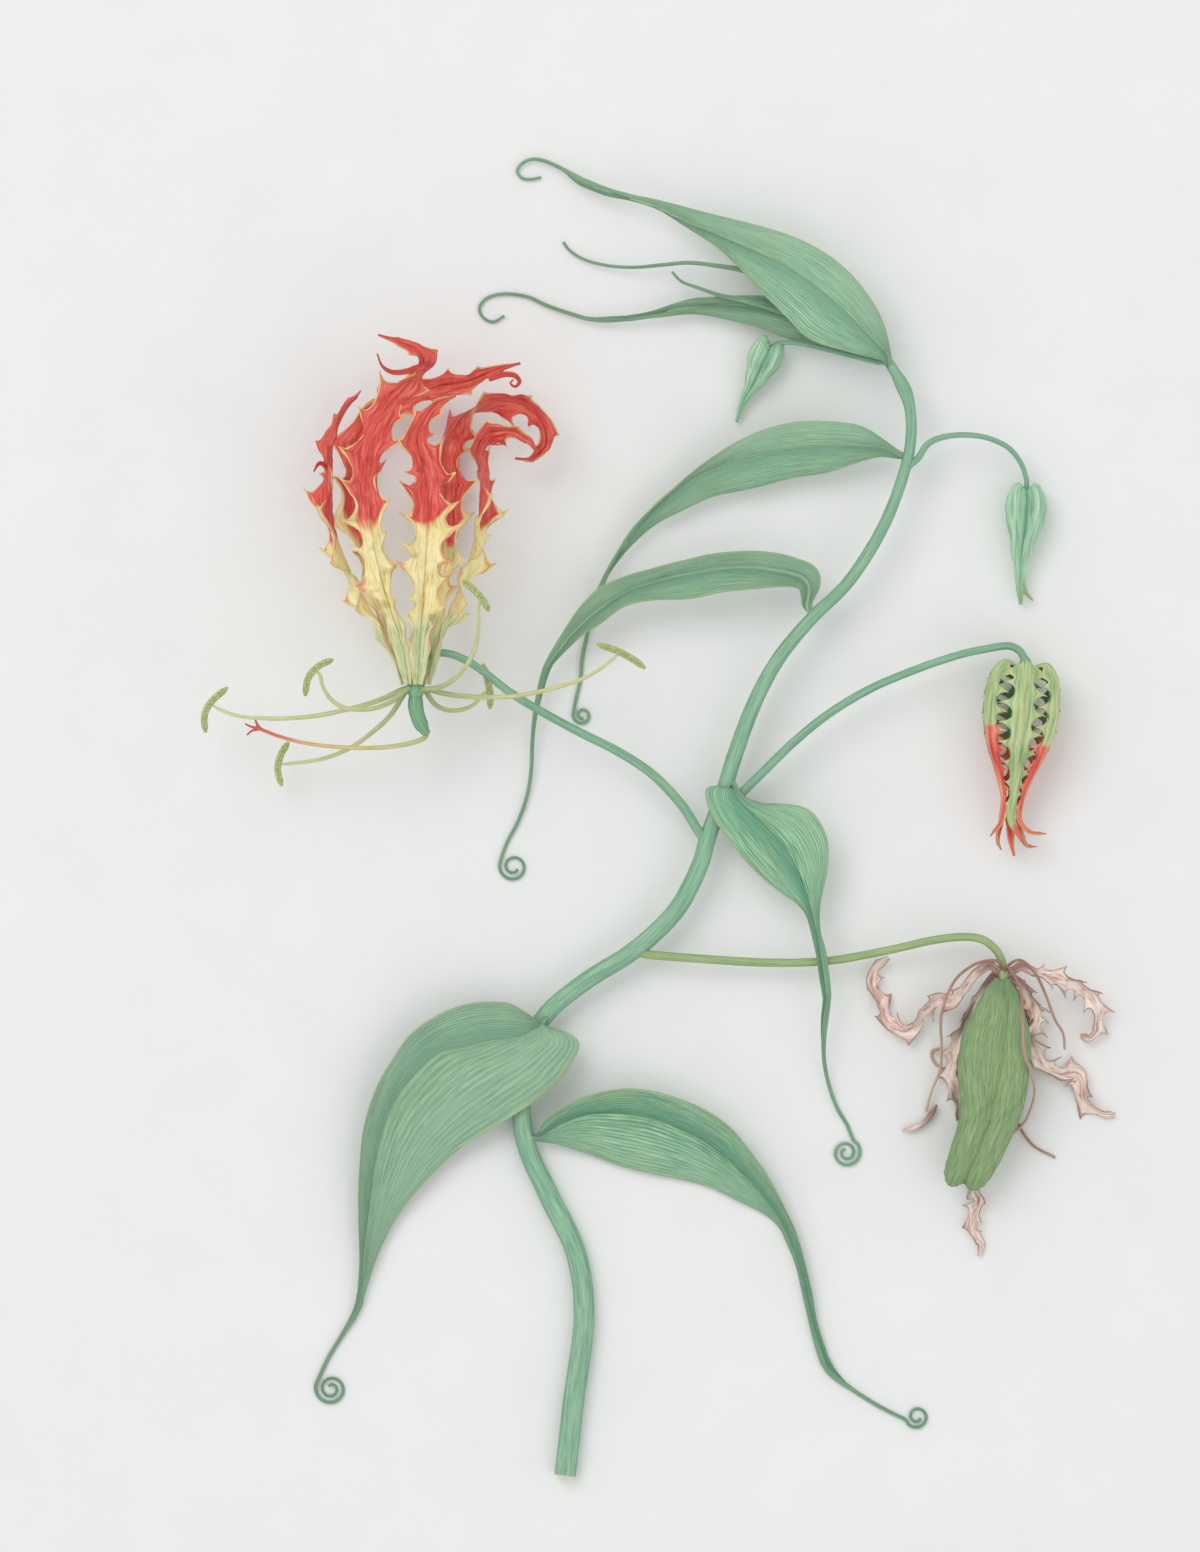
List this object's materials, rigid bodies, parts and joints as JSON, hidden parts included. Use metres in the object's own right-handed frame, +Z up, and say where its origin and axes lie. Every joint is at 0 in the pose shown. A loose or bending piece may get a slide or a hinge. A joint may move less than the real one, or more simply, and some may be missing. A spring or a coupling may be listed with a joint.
{
  "type": "glory lily",
  "caption": "Cut shoot of a climbing lily lying flat: curved stem, leaves ending in coiled tendrils, an open flower with crisped swept-back tepals, buds and a seed pod.",
  "frame": {"origin": "on the surface the shoot lies on, under the middle of its bounding box", "axes": "+Z up from the surface, +Y from the cut end of the stem towards the top of the shoot, +X to the side of the buds and the pod"},
  "size_m": [0.2011, 0.2912, 0.0425],
  "materials": {
    "stem_green": "satin",
    "leaf_green": "satin",
    "tepal": "satin",
    "filament": "satin",
    "anther": "matte",
    "ovary_green": "satin",
    "style": "satin",
    "bud_green": "satin",
    "opening_bud": "satin",
    "pod_green": "satin",
    "pod_stalk_green": "satin",
    "withered": "matte"
  },
  "bodies": {
    "root": {"anther_front_left": "anther", "anther_front_right": "anther", "anther_left": "anther", "anther_low_left": "anther", "anther_low_right": "anther", "anther_right": "anther", "filament_front_left": "filament", "filament_front_right": "filament", "filament_left": "filament", "filament_low_left": "filament", "filament_low_right": "filament", "filament_right": "filament", "flower_stalk": "stem_green", "green_bud": "bud_green", "green_bud_stalk": "stem_green", "leaf_behind": "leaf_green", "leaf_folded": "leaf_green", "leaf_lower_left": "leaf_green", "leaf_lower_right": "leaf_green", "leaf_middle": "leaf_green", "leaf_top": "leaf_green", "leaf_upper": "leaf_green", "leaf_young_long": "leaf_green", "leaf_young_short": "leaf_green", "opening_bud_back": "opening_bud", "opening_bud_back_left": "opening_bud", "opening_bud_back_right": "opening_bud", "opening_bud_front": "opening_bud", "opening_bud_front_left": "opening_bud", "opening_bud_front_right": "opening_bud", "opening_bud_stalk": "stem_green", "ovary": "ovary_green", "pod": "pod_green", "pod_stalk": "pod_stalk_green", "small_bud": "bud_green", "small_bud_stalk": "stem_green", "stem": "stem_green", "style": "style", "tepal_back_left": "tepal", "tepal_back_right": "tepal", "tepal_front": "tepal", "tepal_front_left": "tepal", "tepal_left": "tepal", "tepal_right": "tepal", "withered_anther": "withered", "withered_tepal_below": "withered", "withered_tepal_left": "withered", "withered_tepal_left_low": "withered", "withered_tepal_right": "withered", "withered_tepal_right_low": "withered", "withered_tepal_right_top": "withered", "withered_thread_curl": "withered", "withered_thread_front": "withered", "withered_thread_left": "withered", "withered_thread_right": "withered"}
  },
  "joints": []
}
